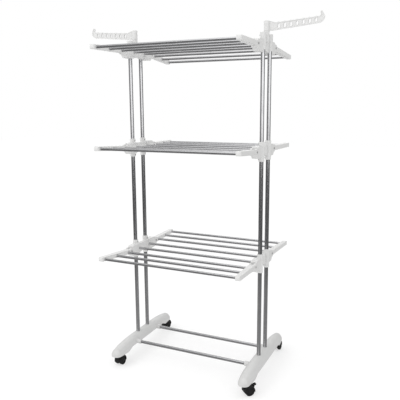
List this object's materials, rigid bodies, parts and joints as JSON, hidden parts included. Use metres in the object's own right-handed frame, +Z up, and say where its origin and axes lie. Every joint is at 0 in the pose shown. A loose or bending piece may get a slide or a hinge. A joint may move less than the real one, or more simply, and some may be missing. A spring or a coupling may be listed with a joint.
{
  "type": "clothes drying rack",
  "caption": "Folding clothes drying rack: steel rods and uprights, white plastic brackets, fold-up wings, slotted swinging hanger arms and caster feet.",
  "frame": {"origin": "centre of the bounding box at floor level, under the middle of the rack", "axes": "+Z up, +X along the drying rods from the left frame to the right frame, -Y towards the near side"},
  "size_m": [1.1708, 0.7, 1.6618],
  "materials": {
    "white_plastic": "satin moulded plastic",
    "steel_tube": "polished stainless tube",
    "screw_steel": "plated",
    "black_plastic": "satin moulded plastic"
  },
  "bodies": {
    "frame": {"foot_left": "white_plastic", "foot_right": "white_plastic", "cross_tube_near": "steel_tube", "cross_tube_far": "steel_tube", "foot_screws": "screw_steel", "lower_upright_left_near": "steel_tube", "lower_upright_left_far": "steel_tube", "lower_upright_right_near": "steel_tube", "lower_upright_right_far": "steel_tube", "middle_upright_left_near": "steel_tube", "middle_upright_left_far": "steel_tube", "middle_upright_right_near": "steel_tube", "middle_upright_right_far": "steel_tube", "upper_upright_left_near": "steel_tube", "upper_upright_left_far": "steel_tube", "upper_upright_right_near": "steel_tube", "upper_upright_right_far": "steel_tube", "lower_bracket_left": "white_plastic", "lower_bracket_right": "white_plastic", "centre_rods_lower": "steel_tube", "middle_bracket_left": "white_plastic", "middle_bracket_right": "white_plastic", "centre_rods_middle": "steel_tube", "top_bracket_left": "white_plastic", "top_bracket_right": "white_plastic", "centre_rods_top": "steel_tube", "hinge_pins": "screw_steel", "bracket_screws": "screw_steel", "caster_stems": "screw_steel"},
    "wing_lower_near": {"wing_rods_lower_near": "steel_tube", "wing_arm_lower_near_left": "white_plastic", "wing_arm_lower_near_right": "white_plastic"},
    "wing_lower_far": {"wing_rods_lower_far": "steel_tube", "wing_arm_lower_far_left": "white_plastic", "wing_arm_lower_far_right": "white_plastic"},
    "wing_middle_near": {"wing_rods_middle_near": "steel_tube", "wing_arm_middle_near_left": "white_plastic", "wing_arm_middle_near_right": "white_plastic"},
    "wing_middle_far": {"wing_rods_middle_far": "steel_tube", "wing_arm_middle_far_left": "white_plastic", "wing_arm_middle_far_right": "white_plastic"},
    "wing_top_near": {"wing_rods_top_near": "steel_tube", "wing_arm_top_near_left": "white_plastic", "wing_arm_top_near_right": "white_plastic"},
    "wing_top_far": {"wing_rods_top_far": "steel_tube", "wing_arm_top_far_left": "white_plastic", "wing_arm_top_far_right": "white_plastic"},
    "hanger_left": {"hanger_arm_left": "white_plastic"},
    "hanger_right": {"hanger_arm_right": "white_plastic"},
    "caster_left_near": {"caster_housing_left_near": "black_plastic"},
    "wheels_left_near": {"caster_wheels_left_near": "black_plastic"},
    "caster_left_far": {"caster_housing_left_far": "black_plastic"},
    "wheels_left_far": {"caster_wheels_left_far": "black_plastic"},
    "brake_left": {"brake_lever_left": "black_plastic"},
    "caster_right_near": {"caster_housing_right_near": "black_plastic"},
    "wheels_right_near": {"caster_wheels_right_near": "black_plastic"},
    "caster_right_far": {"caster_housing_right_far": "black_plastic"},
    "wheels_right_far": {"caster_wheels_right_far": "black_plastic"},
    "brake_right": {"brake_lever_right": "black_plastic"}
  },
  "joints": [
    {"name": "wing_lower_near_fold", "type": "hinge", "parent": "frame", "child": "wing_lower_near", "pos_m": [0, -0.122, 0.562], "axis": [-1, 0, 0], "range_deg": [0, 86]},
    {"name": "wing_lower_far_fold", "type": "hinge", "parent": "frame", "child": "wing_lower_far", "pos_m": [0, 0.122, 0.562], "axis": [1, 0, 0], "range_deg": [0, 90]},
    {"name": "wing_middle_near_fold", "type": "hinge", "parent": "frame", "child": "wing_middle_near", "pos_m": [0, -0.122, 1.077], "axis": [-1, 0, 0], "range_deg": [0, 86.5]},
    {"name": "wing_middle_far_fold", "type": "hinge", "parent": "frame", "child": "wing_middle_far", "pos_m": [0, 0.122, 1.077], "axis": [1, 0, 0], "range_deg": [0, 90]},
    {"name": "wing_top_near_fold", "type": "hinge", "parent": "frame", "child": "wing_top_near", "pos_m": [0, -0.122, 1.532], "axis": [-1, 0, 0], "range_deg": [0, 90]},
    {"name": "wing_top_far_fold", "type": "hinge", "parent": "frame", "child": "wing_top_far", "pos_m": [0, 0.122, 1.532], "axis": [1, 0, 0], "range_deg": [0, 90]},
    {"name": "hanger_left_swing", "type": "hinge", "parent": "frame", "child": "hanger_left", "pos_m": [-0.335, 0, 1.593], "axis": [0, 0, 1], "range_deg": [0, 180]},
    {"name": "hanger_right_swing", "type": "hinge", "parent": "frame", "child": "hanger_right", "pos_m": [0.335, 0, 1.593], "axis": [0, 0, 1], "range_deg": [0, 180]},
    {"name": "caster_left_near_swivel", "type": "hinge", "parent": "frame", "child": "caster_left_near", "pos_m": [-0.335, -0.24, 0.0535], "axis": [0, 0, 1], "continuous": true},
    {"name": "wheels_left_near_roll", "type": "hinge", "parent": "caster_left_near", "child": "wheels_left_near", "pos_m": [-0.335, -0.22, 0.022], "axis": [1, 0, 0], "continuous": true},
    {"name": "brake_left_press", "type": "hinge", "parent": "caster_left_near", "child": "brake_left", "pos_m": [-0.335, -0.19941, 0.04053], "axis": [1, 0, 0], "range_deg": [-18, 0]},
    {"name": "caster_left_far_swivel", "type": "hinge", "parent": "frame", "child": "caster_left_far", "pos_m": [-0.335, 0.24, 0.0535], "axis": [0, 0, 1], "continuous": true},
    {"name": "wheels_left_far_roll", "type": "hinge", "parent": "caster_left_far", "child": "wheels_left_far", "pos_m": [-0.335, 0.26, 0.022], "axis": [1, 0, 0], "continuous": true},
    {"name": "caster_right_near_swivel", "type": "hinge", "parent": "frame", "child": "caster_right_near", "pos_m": [0.335, -0.24, 0.0535], "axis": [0, 0, 1], "continuous": true},
    {"name": "wheels_right_near_roll", "type": "hinge", "parent": "caster_right_near", "child": "wheels_right_near", "pos_m": [0.34914, -0.22586, 0.022], "axis": [0.7071, -0.7071, 0], "continuous": true},
    {"name": "brake_right_press", "type": "hinge", "parent": "caster_right_near", "child": "brake_right", "pos_m": [0.3637, -0.2113, 0.04053], "axis": [0.7071, -0.7071, 0], "range_deg": [-18, 0]},
    {"name": "caster_right_far_swivel", "type": "hinge", "parent": "frame", "child": "caster_right_far", "pos_m": [0.335, 0.24, 0.0535], "axis": [0, 0, 1], "continuous": true},
    {"name": "wheels_right_far_roll", "type": "hinge", "parent": "caster_right_far", "child": "wheels_right_far", "pos_m": [0.335, 0.26, 0.022], "axis": [1, 0, 0], "continuous": true}
  ]
}
